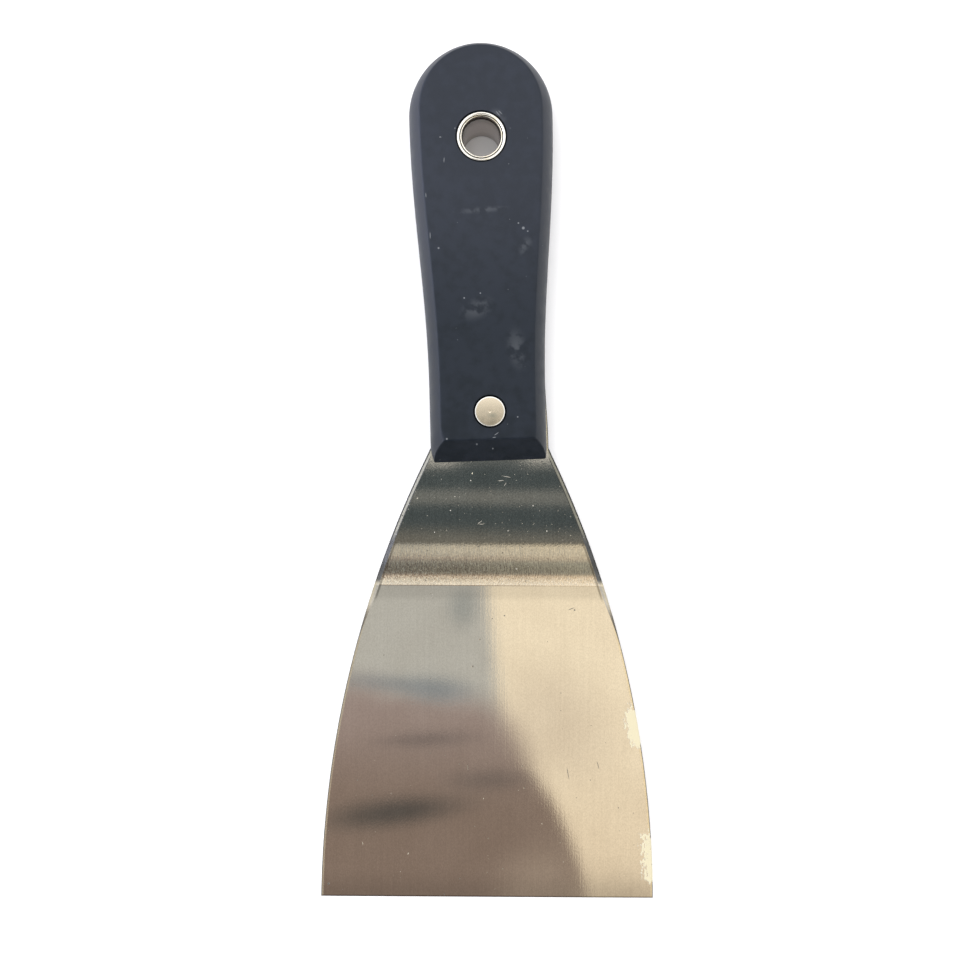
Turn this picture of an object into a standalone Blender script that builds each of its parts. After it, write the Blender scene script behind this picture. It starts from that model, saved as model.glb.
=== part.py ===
"""A three-inch flexible scraper: a steel blade with a full tang, two handle scales, a two-piece
hang eyelet and a two-piece cutlery rivet.

The tool lies on its back scale. X runs across the blade, Y from the working edge (-Y) to the
butt (+Y), and Z up. The origin is at the middle of the footprint, on the surface it lies on.
Everything is in metres.
"""

import math

import bmesh
import bpy
from mathutils import Matrix, Vector

# Overall sizes
TOOL_LENGTH = 0.195
BLADE_WIDTH = 0.0762
HANDLE_THICKNESS = 0.016
EDGE_Y = -TOOL_LENGTH / 2
MID_Z = HANDLE_THICKNESS / 2
GAP = 0.0003

# Blade: distances named _AT are measured from the working edge, along the blade
SIDE_RADIUS = 0.2385
SIDE_CENTRE_AT = -0.0025
ROOT_THICKNESS = 0.0022
THIN_THICKNESS = 0.00055
EDGE_THICKNESS = 0.00044
RAMP_FOOT_AT = 0.0716
RAMP_TOP_AT = 0.0824
RAMP_POWER = 2.14
SIDE_BEVEL_WIDTH = 0.0011
SIDE_BEVEL_ENDS_AT = 0.057
SIDE_BEVEL_SLOPE = math.tan(math.radians(30))
WIDEST_BEVEL_SHARE = 0.33
SHOULDER_AT = 0.1035
EDGE_BREAK = 0.00015
THINNEST_SIDE = 0.3

# Handle: it leans by HANDLE_CANT about a point of the blade's axis
HANDLE_CANT = math.radians(1.7)
CANT_PIVOT_AT = 0.0947
HANDLE_FRONT_AT = 0.1001
BUTT_RADIUS = 0.0164
NECK_HALF_WIDTH = 0.01325
SWELL_LENGTH = 0.062
SIDE_INSET = 0.0027
SIDE_CURVE = 2.0
BUTT_FULLNESS = 0.26
BUTT_FULLNESS_CURVE = 1.5
FRONT_SLOPE_RUN = 0.0047
FRONT_SKEW = math.radians(0.7)
CORNER_LENGTH = 0.0037
CORNER_TAPERS = {-1: 0.0008, 1: 0.0002}
CREASE_BREAK = 0.00022
SCALE_LEVELS = (0.0, 0.2, 0.42, 0.64, 0.84)
CORNER_LEVELS = (0.35, 0.7, 1.0)

# Tang: inside the scales' outline, a little to one side of them and wider at the neck
TANG_INSET = 0.00035
TANG_SHIFT = 0.0003
TANG_FLARE = 0.0005
TANG_FLARE_LENGTH = 0.0185

# Eyelet: a tube with its own back flange, flared inside the front collar
EYELET_AT = 0.1725
BORE_RADIUS = 0.00415
WALL = 0.0003
FIT = 0.0002
FLANGE_RADIUS = 0.0056
CROWN_RADIUS = 0.0052
FLANGE_DEPTH = 0.0009
FLANGE_SINK = 0.00005
RIM_DROP = 0.00045
MOUTH_DEPTH = 0.0018
LIP_TURN = 47
COLLAR_LENGTH = 0.0058

# Rivet: a hollow half from the front and a pin half from the back
RIVET_AT = 0.111
RIVET_HEAD_RADIUS = 0.0034
RIVET_HEAD_HEIGHT = 0.0014
RIVET_SEAT_RADIUS = 0.00375
RIVET_SINK = 0.0001
RIVET_RIM = 0.0002
BARREL_RADIUS = 0.0023
BARREL_BORE = 0.0015
PIN_RADIUS = 0.0012

# Facets
BLADE_STEPS = 8
BEVEL_STEPS = 5
RAMP_STEPS = 12
SIDE_STEPS = 12
BUTT_STEPS = 22
ROUND_STEPS = 40
ARC_STEPS = 4
SMOOTH_BELOW = math.radians(28)
CUTTER_REACH = 0.001


def from_edge(distance):
    """The Y of a point this far from the working edge."""
    return EDGE_Y + distance


def ease(t):
    """0 to 1 along a half cosine, level at both ends."""
    return 0.5 - 0.5 * math.cos(math.pi * min(1.0, max(0.0, t)))


def steps(start, end, count):
    return [start + (end - start) * i / count for i in range(count + 1)]


BUTT_CENTRE_Y = TOOL_LENGTH / 2 - BUTT_RADIUS
PIVOT_Y = from_edge(CANT_PIVOT_AT)
SCALE_THICKNESS = (HANDLE_THICKNESS - ROOT_THICKNESS) / 2 - GAP


def handle_axis_x(y):
    """The X of the handle's axis at a Y, and beyond the butt's centre the butt centre's own."""
    return -math.tan(HANDLE_CANT) * (min(y, BUTT_CENTRE_Y) - PIVOT_Y)


def handle_half_width(behind_butt):
    """Half the handle's width this far in front of the butt's centre."""
    swell = 1 - ease(behind_butt / SWELL_LENGTH)
    return NECK_HALF_WIDTH + (BUTT_RADIUS - NECK_HALF_WIDTH) * swell


def material(name, colour, roughness, metallic):
    made = bpy.data.materials.new(name)
    made.use_nodes = True
    shader = made.node_tree.nodes["Principled BSDF"]
    shader.inputs["Base Color"].default_value = (*colour, 1)
    shader.inputs["Roughness"].default_value = roughness
    shader.inputs["Metallic"].default_value = metallic
    return made


def new_object(name, bm, finish):
    """One closed body with its faces out, made from bm."""
    bmesh.ops.recalc_face_normals(bm, faces=bm.faces)
    mesh = bpy.data.meshes.new(name)
    bm.to_mesh(mesh)
    bm.free()
    mesh.materials.append(finish)
    mesh.shade_smooth()
    mesh.set_sharp_from_angle(angle=SMOOTH_BELOW)
    made = bpy.data.objects.new(name, mesh)
    bpy.context.scene.collection.objects.link(made)
    return made


def loft(rings):
    """A bmesh through rings of equally many points, with a flat face over each end."""
    bm = bmesh.new()
    rows = [[bm.verts.new(point) for point in ring] for ring in rings]
    count = len(rows[0])
    for low, high in zip(rows, rows[1:]):
        for i in range(count):
            j = (i + 1) % count
            bm.faces.new((low[i], low[j], high[j], high[i]))
    bm.faces.new(rows[0])
    bm.faces.new(rows[-1])
    return bm


def lathe(profile):
    """A bmesh turned about Z from a closed outline of (radius, height) points."""
    bm = bmesh.new()
    columns = []
    for i in range(ROUND_STEPS):
        turn = 2 * math.pi * i / ROUND_STEPS
        columns.append([(r * math.cos(turn), r * math.sin(turn), z) for r, z in profile])
    verts = [[bm.verts.new(point) for point in column] for column in columns]
    for i in range(ROUND_STEPS):
        here = verts[i]
        there = verts[(i + 1) % ROUND_STEPS]
        for a in range(len(profile)):
            b = (a + 1) % len(profile)
            if profile[a][0] > 0 or profile[b][0] > 0:
                bm.faces.new((here[a], here[b], there[b], there[a]))
    bmesh.ops.remove_doubles(bm, verts=bm.verts, dist=1e-7)
    bmesh.ops.dissolve_degenerate(bm, edges=bm.edges, dist=1e-7)
    return bm


def cut(body, cutter):
    """Cuts a hole in body with a Boolean modifier, and hides the cutter."""
    cutter.hide_render = True
    cutter.display_type = "WIRE"
    hole = body.modifiers.new(cutter.name, "BOOLEAN")
    hole.operation = "DIFFERENCE"
    hole.solver = "EXACT"
    hole.object = cutter


# Blade

def blade_side(distance):
    """Half the blade's width on its side arc, this far from the working edge."""
    along = SIDE_CENTRE_AT / SIDE_RADIUS
    middle = BLADE_WIDTH / 2 - SIDE_RADIUS * math.sqrt(1 - along * along)
    return middle + math.sqrt(SIDE_RADIUS ** 2 - (distance - SIDE_CENTRE_AT) ** 2)


def tang_sides(y):
    """The tang's left and right X at a Y up to the butt's centre."""
    flare = TANG_FLARE * (1 - ease((y - from_edge(SHOULDER_AT)) / TANG_FLARE_LENGTH))
    half = handle_half_width(BUTT_CENTRE_Y - y) - TANG_INSET + flare
    middle = handle_axis_x(y) + TANG_SHIFT
    return middle - half, middle + half


def ramp_rise(distance):
    """0 to 1 up the ground ramp, which starts steep at a crisp foot and levels off."""
    left = (RAMP_TOP_AT - distance) / (RAMP_TOP_AT - RAMP_FOOT_AT)
    return 1 - min(1.0, max(0.0, left)) ** RAMP_POWER


def half_thickness(distance):
    """Half the steel's thickness: thin blade, ground ramp, then the full root and tang."""
    if distance < RAMP_FOOT_AT:
        share = distance / RAMP_FOOT_AT
        return (EDGE_THICKNESS + (THIN_THICKNESS - EDGE_THICKNESS) * share) / 2
    return (THIN_THICKNESS + (ROOT_THICKNESS - THIN_THICKNESS) * ramp_rise(distance)) / 2


def side_bevel(distance):
    """The width of the ground bevel along the side, fading out towards both of its ends."""
    fade_in = ease((distance - SIDE_BEVEL_ENDS_AT) / (RAMP_FOOT_AT - SIDE_BEVEL_ENDS_AT))
    fade_out = ease((SHOULDER_AT - distance) / (SHOULDER_AT - HANDLE_FRONT_AT))
    return EDGE_BREAK + (SIDE_BEVEL_WIDTH - EDGE_BREAK) * fade_in * fade_out


def steel_section(distance, left, right):
    """One cross-section of the steel: flat faces with a bevel to each side."""
    thick = half_thickness(distance)
    bevel = min(side_bevel(distance), (right - left) * WIDEST_BEVEL_SHARE)
    thin = max(THINNEST_SIDE * thick, thick - SIDE_BEVEL_SLOPE * bevel)
    y = from_edge(distance)
    upper = [(left, thin), (left + bevel, thick), (right - bevel, thick), (right, thin)]
    points = upper + [(x, -z) for x, z in reversed(upper)]
    return [(x, y, MID_Z + z) for x, z in points]


def blade_stations():
    """The cross-sections' distances from the working edge, up to the butt's centre."""
    flare_end_at = SHOULDER_AT + TANG_FLARE_LENGTH
    past_shoulder = SHOULDER_AT + EDGE_BREAK
    stretches = (
        (0, SIDE_BEVEL_ENDS_AT, BLADE_STEPS),
        (SIDE_BEVEL_ENDS_AT, RAMP_FOOT_AT, BEVEL_STEPS),
        (RAMP_FOOT_AT, RAMP_TOP_AT, RAMP_STEPS),
        (RAMP_TOP_AT, HANDLE_FRONT_AT, BEVEL_STEPS),
        (HANDLE_FRONT_AT, past_shoulder, BEVEL_STEPS),
        (past_shoulder, flare_end_at, BEVEL_STEPS),
        (flare_end_at, BUTT_CENTRE_Y - EDGE_Y, SIDE_STEPS),
    )
    stations = [0]
    for first, last, count in stretches:
        stations += steps(first, last, count)[1:]
    return stations


def make_blade(steel):
    centre_at = BUTT_CENTRE_Y - EDGE_Y
    sections = []
    for distance in blade_stations():
        side = blade_side(distance)
        left, right = tang_sides(max(from_edge(distance), from_edge(SHOULDER_AT)))
        if distance < SHOULDER_AT:
            left = min(left, -side)
            right = max(right, side)
        sections.append(steel_section(distance, left, right))
    end_radius = BUTT_RADIUS - TANG_INSET
    middle = handle_axis_x(BUTT_CENTRE_Y) + TANG_SHIFT
    for i in range(1, BUTT_STEPS // 2):
        turn = math.pi * i / BUTT_STEPS
        half = end_radius * math.cos(turn)
        distance = centre_at + end_radius * math.sin(turn)
        sections.append(steel_section(distance, middle - half, middle + half))
    return new_object("blade", loft(sections), steel)


# Handle scales

def side_inset(share):
    """How far the scale's side has come in at this share of the scale's thickness."""
    return SIDE_INSET * share ** SIDE_CURVE


def butt_fullness(turn):
    """The share of the inset that the scale's end does without, most at the tip of the butt."""
    return BUTT_FULLNESS * max(0.0, math.sin(turn)) ** BUTT_FULLNESS_CURVE


def scale_outline(inset, setback):
    """The scale's outline at one height, in the handle's own frame: the butt's centre is the
    origin and the blade lies towards -Y."""
    front = from_edge(HANDLE_FRONT_AT) - BUTT_CENTRE_Y + setback
    corner_start = front + CORNER_LENGTH
    points = []
    for i in range(BUTT_STEPS + 1):
        turn = math.pi * i / BUTT_STEPS
        radius = BUTT_RADIUS - inset * (1 - butt_fullness(turn))
        points.append((radius * math.cos(turn), radius * math.sin(turn)))
    sides = {}
    for side in (-1, 1):
        column = [(side * (handle_half_width(-y) - inset), y)
                  for y in steps(0, corner_start, SIDE_STEPS)[1:]]
        for t in CORNER_LEVELS:
            y = corner_start - CORNER_LENGTH * t
            half = handle_half_width(-y) - inset - CORNER_TAPERS[side] * t * t
            column.append((side * half, y + math.tan(FRONT_SKEW) * side * half * t))
        sides[side] = column
    return points + sides[-1] + sides[1][::-1]


def scale_rings():
    """The scale's outlines from its inner face at height 0 to its flat outer face."""
    levels = [(share, side_inset(share)) for share in SCALE_LEVELS]
    shoulder = 1 - CREASE_BREAK / SCALE_THICKNESS
    levels.append((shoulder, side_inset(shoulder)))
    levels.append((1.0, side_inset(1.0) + CREASE_BREAK))
    rings = []
    for share, inset in levels:
        setback = FRONT_SLOPE_RUN * share
        if share == 1.0:
            setback += CREASE_BREAK
        height = share * SCALE_THICKNESS
        rings.append([(x, y, height) for x, y in scale_outline(inset, setback)])
    return rings


def make_scale(name, facing, plastic):
    """facing is 1 for the front scale and -1 for the back one."""
    bm = loft(scale_rings())
    inner_z = MID_Z + facing * (ROOT_THICKNESS / 2 + GAP)
    place = Matrix.Translation(Vector((handle_axis_x(BUTT_CENTRE_Y), BUTT_CENTRE_Y, inner_z)))
    lean = Matrix.Rotation(HANDLE_CANT, 4, "Z")
    flip = Matrix.Diagonal((1, 1, facing, 1))
    bmesh.ops.transform(bm, matrix=place @ lean @ flip, verts=bm.verts)
    return new_object(name, bm, plastic)


# Fasteners

def eyelet_place():
    y = from_edge(EYELET_AT)
    return Vector((handle_axis_x(y), y, 0))


def rivet_place():
    return Vector((0, from_edge(RIVET_AT), 0))


def turned(name, profile, place, finish=None):
    made = new_object(name, lathe(profile), finish)
    made.location = place
    return made


def arc(centre, radii, start, end):
    """Points on a stretch of an ellipse, between two angles in degrees."""
    points = []
    for degrees in steps(start, end, ARC_STEPS):
        turn = math.radians(degrees)
        points.append((centre[0] + radii[0] * math.cos(turn), centre[1] + radii[1] * math.sin(turn)))
    return points


def turned_over(profile):
    """A profile for the front face, mirrored to the back face."""
    return [(r, HANDLE_THICKNESS - z) for r, z in profile]


def flange_outside(wall, top):
    """The outer side of a flange from the wall under it, around its rim, up to its crown."""
    under = top - FLANGE_DEPTH
    rim = arc((CROWN_RADIUS, top - RIM_DROP), (FLANGE_RADIUS - CROWN_RADIUS, RIM_DROP), 0, 90)
    return [(wall, under), (FLANGE_RADIUS, under)] + rim


def make_eyelet_front(brass):
    """The collar: a rolled flange on a short barrel, around the tube of the back piece."""
    top = HANDLE_THICKNESS - FLANGE_SINK
    inner = BORE_RADIUS + WALL + FIT
    outer = inner + WALL
    mouth = arc((CROWN_RADIUS, top - MOUTH_DEPTH), (CROWN_RADIUS - inner, MOUTH_DEPTH), 90, 180)
    barrel = [(inner, top - COLLAR_LENGTH), (outer, top - COLLAR_LENGTH)]
    return turned("eyelet_front", barrel + flange_outside(outer, top) + mouth[1:], eyelet_place(), brass)


def make_eyelet_back(brass):
    """The tube: its own flange at the back, and a lip flared inside the front collar. The lip's
    two sides run parallel to the collar's mouth."""
    top = HANDLE_THICKNESS - FLANGE_SINK
    outer = BORE_RADIUS + WALL
    throat = (CROWN_RADIUS, top - MOUTH_DEPTH)
    lip_outside = arc(throat, (CROWN_RADIUS - outer, MOUTH_DEPTH + FIT), 180, 180 - LIP_TURN)
    lip_inside = arc(
        throat, (CROWN_RADIUS - BORE_RADIUS, MOUTH_DEPTH + FIT + WALL), 180 - LIP_TURN, 180)
    mouth = arc(throat, (CROWN_RADIUS - BORE_RADIUS, MOUTH_DEPTH), 90, 180)
    back = turned_over(flange_outside(outer, top) + mouth[1:])
    return turned("eyelet_back", lip_outside + lip_inside + back[::-1], eyelet_place(), brass)


def make_rivet_front(brass):
    """The hollow half: a flat head on a barrel that is open at its inner end."""
    top = HANDLE_THICKNESS - RIVET_SINK
    under = top - RIVET_HEAD_HEIGHT
    end = RIVET_SINK + RIVET_HEAD_HEIGHT + GAP
    profile = rivet_head(top) + [
        (BARREL_RADIUS, under),
        (BARREL_RADIUS, end),
        (BARREL_BORE, end),
        (BARREL_BORE, under),
        (0, under),
    ]
    return turned("rivet_front", profile, rivet_place(), brass)


def make_rivet_back(brass):
    """The pin half: a flat head on a solid shank that is pressed into the barrel."""
    top = HANDLE_THICKNESS - RIVET_SINK
    tip = RIVET_SINK + RIVET_HEAD_HEIGHT + GAP
    profile = rivet_head(top) + [
        (PIN_RADIUS, top - RIVET_HEAD_HEIGHT),
        (PIN_RADIUS, tip + RIVET_RIM),
        (PIN_RADIUS - RIVET_RIM, tip),
        (0, tip),
    ]
    return turned("rivet_back", turned_over(profile), rivet_place(), brass)


def rivet_head(top):
    return [
        (0, top),
        (RIVET_HEAD_RADIUS - RIVET_RIM, top),
        (RIVET_HEAD_RADIUS, top - RIVET_RIM),
        (RIVET_HEAD_RADIUS, top - RIVET_HEAD_HEIGHT),
    ]


def stepped_hole(name, seat, depth, bore, place):
    """A cutter: a bore through everything, with a wider seat of this depth at each face."""
    beyond = HANDLE_THICKNESS + CUTTER_REACH
    floor = HANDLE_THICKNESS - depth
    half = [(0, beyond), (seat, beyond), (seat, floor), (bore, floor)]
    return turned(name, half + turned_over(half)[::-1], place)


def eyelet_hole():
    depth = FLANGE_SINK + FLANGE_DEPTH + FIT
    bore = BORE_RADIUS + 2 * (WALL + FIT)
    return stepped_hole("eyelet_hole", FLANGE_RADIUS + FIT, depth, bore, eyelet_place())


def rivet_hole():
    depth = RIVET_SINK + RIVET_HEAD_HEIGHT + GAP
    return stepped_hole("rivet_hole", RIVET_SEAT_RADIUS, depth, BARREL_RADIUS + GAP, rivet_place())


def clear_scene():
    for item in list(bpy.data.objects):
        bpy.data.objects.remove(item, do_unlink=True)


def main():
    clear_scene()
    steel = material("blade_steel", (0.62, 0.58, 0.50), 0.25, 1.0)
    plastic_front = material("handle_plastic", (0.045, 0.055, 0.075), 0.5, 0.0)
    plastic_back = material("handle_plastic_back", (0.045, 0.055, 0.075), 0.5, 0.0)
    brass = {
        name: material(name + "_brass", (0.80, 0.70, 0.48), 0.2, 1.0)
        for name in ("eyelet_front", "eyelet_back", "rivet_front", "rivet_back")
    }
    blade = make_blade(steel)
    front = make_scale("handle_scale_front", 1, plastic_front)
    back = make_scale("handle_scale_back", -1, plastic_back)
    make_eyelet_front(brass["eyelet_front"])
    make_eyelet_back(brass["eyelet_back"])
    make_rivet_front(brass["rivet_front"])
    make_rivet_back(brass["rivet_back"])
    holes = (eyelet_hole(), rivet_hole())
    for body in (blade, front, back):
        for hole in holes:
            cut(body, hole)


main()
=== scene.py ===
"""The finished looks of a three-inch scraper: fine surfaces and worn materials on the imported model.

X runs across the blade, Y from the working edge to the butt, and Z up. Everything is in metres.
Distances named _AT are measured from the working edge, along the blade.
"""

import math

import bmesh
import bpy
from mathutils import Matrix, Vector


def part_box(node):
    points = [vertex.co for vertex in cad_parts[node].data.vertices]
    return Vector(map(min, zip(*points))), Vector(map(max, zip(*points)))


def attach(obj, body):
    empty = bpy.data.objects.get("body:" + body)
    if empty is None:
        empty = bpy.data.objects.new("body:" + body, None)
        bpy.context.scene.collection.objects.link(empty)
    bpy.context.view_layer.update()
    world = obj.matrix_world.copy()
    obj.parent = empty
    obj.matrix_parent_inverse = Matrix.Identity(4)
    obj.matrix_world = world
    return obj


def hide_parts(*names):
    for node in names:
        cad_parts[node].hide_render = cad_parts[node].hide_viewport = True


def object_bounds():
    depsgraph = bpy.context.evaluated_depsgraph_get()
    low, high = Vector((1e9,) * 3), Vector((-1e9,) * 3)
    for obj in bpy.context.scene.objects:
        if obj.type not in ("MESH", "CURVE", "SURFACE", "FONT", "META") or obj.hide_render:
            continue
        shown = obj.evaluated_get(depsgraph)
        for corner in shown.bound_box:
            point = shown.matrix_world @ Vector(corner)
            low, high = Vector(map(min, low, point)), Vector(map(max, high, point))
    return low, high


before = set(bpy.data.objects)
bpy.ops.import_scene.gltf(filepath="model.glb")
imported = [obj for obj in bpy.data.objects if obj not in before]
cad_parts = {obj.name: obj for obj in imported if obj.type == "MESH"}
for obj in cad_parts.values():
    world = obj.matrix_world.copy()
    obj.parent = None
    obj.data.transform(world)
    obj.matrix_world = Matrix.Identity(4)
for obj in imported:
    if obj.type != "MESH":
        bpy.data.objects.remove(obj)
CAD_LOW, CAD_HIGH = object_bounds()
BLADE_LOW, BLADE_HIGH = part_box("blade")
SCALE_LOW, SCALE_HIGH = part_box("handle_scale_front")
EYELET_LOW, EYELET_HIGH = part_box("eyelet_front")
RIVET_LOW, RIVET_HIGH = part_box("rivet_front")

# Overall sizes, from the frame
EDGE_Y = CAD_LOW.y
BUTT_Y = CAD_HIGH.y
FLOOR_Z = CAD_LOW.z
TOP_Z = CAD_HIGH.z
MID_Z = (FLOOR_Z + TOP_Z) / 2
BLADE_WIDTH = BLADE_HIGH.x - BLADE_LOW.x
ROOT_THICKNESS = BLADE_HIGH.z - BLADE_LOW.z
SCALE_THICKNESS = SCALE_HIGH.z - SCALE_LOW.z
GAP = SCALE_LOW.z - BLADE_HIGH.z
EYELET_PLACE = Vector(((EYELET_LOW.x + EYELET_HIGH.x) / 2, (EYELET_LOW.y + EYELET_HIGH.y) / 2, 0))
RIVET_PLACE = Vector(((RIVET_LOW.x + RIVET_HIGH.x) / 2, (RIVET_LOW.y + RIVET_HIGH.y) / 2, 0))
FLANGE_RADIUS = (EYELET_HIGH.x - EYELET_LOW.x) / 2
FLANGE_TOP = EYELET_HIGH.z
RIVET_HEAD_RADIUS = (RIVET_HIGH.x - RIVET_LOW.x) / 2
RIVET_TOP = RIVET_HIGH.z

# Blade
SIDE_RADIUS = 0.2385
SIDE_CENTRE_AT = -0.0025
THIN_THICKNESS = 0.00055
EDGE_THICKNESS = 0.00044
RAMP_FOOT_AT = 0.0716
RAMP_TOP_AT = 0.0824
RAMP_POWER = 2.14
SIDE_BEVEL_WIDTH = 0.0011
SIDE_BEVEL_ENDS_AT = 0.057
SIDE_BEVEL_SLOPE = math.tan(math.radians(30))
SHOULDER_AT = 0.1035
EDGE_BREAK = 0.00015
THINNEST_SIDE = 0.3
WIDEST_BEVEL_SHARE = 0.33
RAMP_FOOT_BREAK = 0.00006
WAVE_HEIGHT = 0.000008
WAVE_FADE = 0.005
WAVE_TURNS = ((190, 60), (-70, 240))
ROUND_OVER_STEPS = 5
BLADE_COLUMNS = 24

# Handle: it leans by HANDLE_CANT about a point of the blade's axis
HANDLE_CANT = math.radians(1.7)
CANT_PIVOT_AT = 0.0947
HANDLE_FRONT_AT = 0.1001
BUTT_RADIUS = 0.0164
NECK_HALF_WIDTH = 0.01325
SWELL_LENGTH = 0.062
SIDE_INSET = 0.0027
SIDE_CURVE = 2.0
BUTT_FULLNESS = 0.26
BUTT_FULLNESS_CURVE = 1.5
FRONT_SLOPE_RUN = 0.0047
FRONT_SKEW = math.radians(0.7)
CORNER_LENGTH = 0.0037
CORNER_TAPERS = {-1: 0.0008, 1: 0.0002}
CORNER_ROUND = 0.00035
CREASE_BREAK = 0.00034
SEAM_BREAK = 0.00012

# Tang
TANG_INSET = 0.00035
TANG_SHIFT = 0.0003
TANG_FLARE = 0.0005
TANG_FLARE_LENGTH = 0.0185

# Eyelet
BORE_RADIUS = 0.00415
WALL = 0.0003
FIT = 0.0002
CROWN_RADIUS = 0.0052
FLANGE_DEPTH = 0.0009
RIM_DROP = 0.00045
MOUTH_DEPTH = 0.0018
LIP_TURN = 47
COLLAR_LENGTH = 0.0058

# Rivet
RIVET_HEAD_HEIGHT = 0.0014
RIVET_SEAT_RADIUS = 0.00375
RIVET_RIM = 0.0002
BARREL_RADIUS = 0.0023
BARREL_BORE = 0.0015
PIN_RADIUS = 0.0012
CENTRE_MARK_RADIUS = 0.0003
CENTRE_MARK_DEPTH = 0.00003

# Marks of use. On the blade: (x, distance from the edge, radius)
BLADE_PITS = (
    (-0.0024, 0.0805, 0.00022),
    (-0.0141, 0.0795, 0.00018),
    (0.0031, 0.0791, 0.00020),
    (-0.0146, 0.0726, 0.00022),
    (0.0084, 0.0726, 0.00018),
    (0.0036, 0.0646, 0.00020),
    (0.0008, 0.0639, 0.00018),
    (0.0197, 0.0660, 0.00024),
    (-0.0020, 0.0591, 0.00020),
    (-0.0240, 0.0554, 0.00018),
    (-0.0036, 0.0529, 0.00026),
    (0.0079, 0.0301, 0.00020),
    (0.0084, 0.0251, 0.00022),
    (-0.0307, 0.0485, 0.00018),
    (-0.0364, 0.0028, 0.00032),
)
BLADE_FLECKS = (
    (-0.0043, 0.0956, 0.00017),
    (-0.0079, 0.0919, 0.00016),
    (-0.0089, 0.0887, 0.00019),
    (0.0100, 0.0899, 0.00017),
    (0.0043, 0.0841, 0.00016),
    (0.0132, 0.0841, 0.00019),
    (-0.0125, 0.0837, 0.00017),
    (0.0063, 0.0754, 0.00020),
)
# Scratches: (x, distance from the edge, half-length, turn from the X axis in degrees)
BLADE_SCRATCHES = (
    (0.0026, 0.0956, 0.0009, 5),
    (0.0040, 0.0965, 0.0011, 170),
    (0.0036, 0.0948, 0.0006, 60),
    (-0.0022, 0.0860, 0.0009, 40),
    (-0.0018, 0.0856, 0.0006, 0),
    (-0.0130, 0.0690, 0.0010, 85),
)
DARK_SCRATCHES = (
    (0.0184, 0.0285, 0.0016, 100),
    (0.0253, 0.0304, 0.0011, 105),
    (-0.0046, 0.0297, 0.0007, 95),
    (0.0190, 0.0663, 0.0009, 20),
)
HANDLE_SPECKS = (
    (-0.0117, 0.1474, 0.00028),
    (0.0072, 0.1520, 0.00042),
    (0.0061, 0.1531, 0.00024),
    (0.0082, 0.1513, 0.00022),
    (-0.0059, 0.1363, 0.00024),
    (-0.0023, 0.1374, 0.00022),
    (-0.0029, 0.1037, 0.00026),
    (0.0007, 0.1028, 0.00024),
    (0.0062, 0.1098, 0.00022),
    (-0.0115, 0.1722, 0.00022),
    (-0.0082, 0.1742, 0.00018),
    (-0.0096, 0.1048, 0.00028),
)
HANDLE_SCRATCHES = (
    (-0.0136, 0.1502, 0.0009, 92),
    (-0.0106, 0.1671, 0.0007, 88),
    (-0.0146, 0.1592, 0.0006, 95),
    (0.0015, 0.1060, 0.0007, 35),
    (0.0010, 0.1052, 0.0005, 10),
    (0.0010, 0.1771, 0.0008, 140),
    (0.0014, 0.1775, 0.0010, 130),
    (0.0019, 0.1778, 0.0007, 135),
)
SCRATCH_HALF_WIDTH = 0.00009

# How deep the materials' bumps go, and where the ramp's finish starts to show
STEEL_RELIEF = 0.000002
PLASTIC_RELIEF = 0.000012
BRASS_RELIEF = 0.0000008
RAMP_STARTS_AT = RAMP_FOOT_AT - 0.0002

# Smudges on the handle: (x, distance from the edge, half-length, half-width, turn in degrees)
HANDLE_SMUDGES = (
    (0.0016, 0.1771, 0.0026, 0.0016, 140),
    (0.0076, 0.1480, 0.0030, 0.0018, 60),
    (-0.0020, 0.1560, 0.0075, 0.0010, 5),
    (-0.0030, 0.1340, 0.0050, 0.0030, 25),
    (0.0060, 0.1250, 0.0030, 0.0060, 10),
)

# Shades on the cards over the tool: (centre, half-axes, turn in degrees, colour, strength)
CARD_SHADES = (
    ((-0.077, -0.264), (0.088, 0.018), 7, (0.09, 0.09, 0.09), 0.85),
    ((0.000, -0.237), (0.052, 0.013), 2, (0.21, 0.175, 0.165), 0.75),
    ((-0.050, -0.206), (0.062, 0.009), 3, (0.20, 0.17, 0.17), 0.7),
    ((-0.080, -0.159), (0.075, 0.010), -3, (0.33, 0.36, 0.40), 0.8),
    ((-0.042, -0.164), (0.045, 0.017), -5, (0.30, 0.34, 0.39), 0.8),
    ((-0.022, -0.098), (0.018, 0.026), 0, (0.39, 0.42, 0.43), 0.8),
    ((0.055, -0.190), (0.060, 0.080), 35, (0.80, 0.68, 0.56), 0.5),
    ((0.040, -0.330), (0.060, 0.050), 60, (0.50, 0.405, 0.335), 0.7),
    ((0.105, -0.345), (0.060, 0.060), 0, (0.70, 0.59, 0.46), 0.6),
)

# Fineness of the meshes
SIDE_STEPS = 60
BUTT_STEPS = 96
ROUND_STEPS = 128
ARC_STEPS = 12
SMOOTH_BELOW = math.radians(28)
CUTTER_REACH = 0.001
MERGE_DISTANCE = 1e-7

# Camera: straight above, a little turned, as far away as a hand-held camera was
CAMERA_PLACE = Vector((0.00012, -0.00406, 0.290))
CAMERA_TURN = math.radians(0.35)
CAMERA_LENS = 45.07
CAMERA_SENSOR = 36
CAMERA_NEAREST = 0.01

# Floor and key light
FLOOR_RADIUS = 6.0
FLOOR_DROP = 0.00004
KEY_PLACE = Vector((-0.15, 0.05, 1.0))
KEY_SIZE = 1.0
KEY_ENERGY = 7.0


# Shared measures

def from_edge(distance):
    return EDGE_Y + distance


def ease(t):
    """0 to 1 along a half cosine, level at both ends."""
    return 0.5 - 0.5 * math.cos(math.pi * min(1.0, max(0.0, t)))


def steps(start, end, count):
    return [start + (end - start) * i / count for i in range(count + 1)]


BUTT_CENTRE_Y = BUTT_Y - BUTT_RADIUS
PIVOT_Y = from_edge(CANT_PIVOT_AT)


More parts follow.
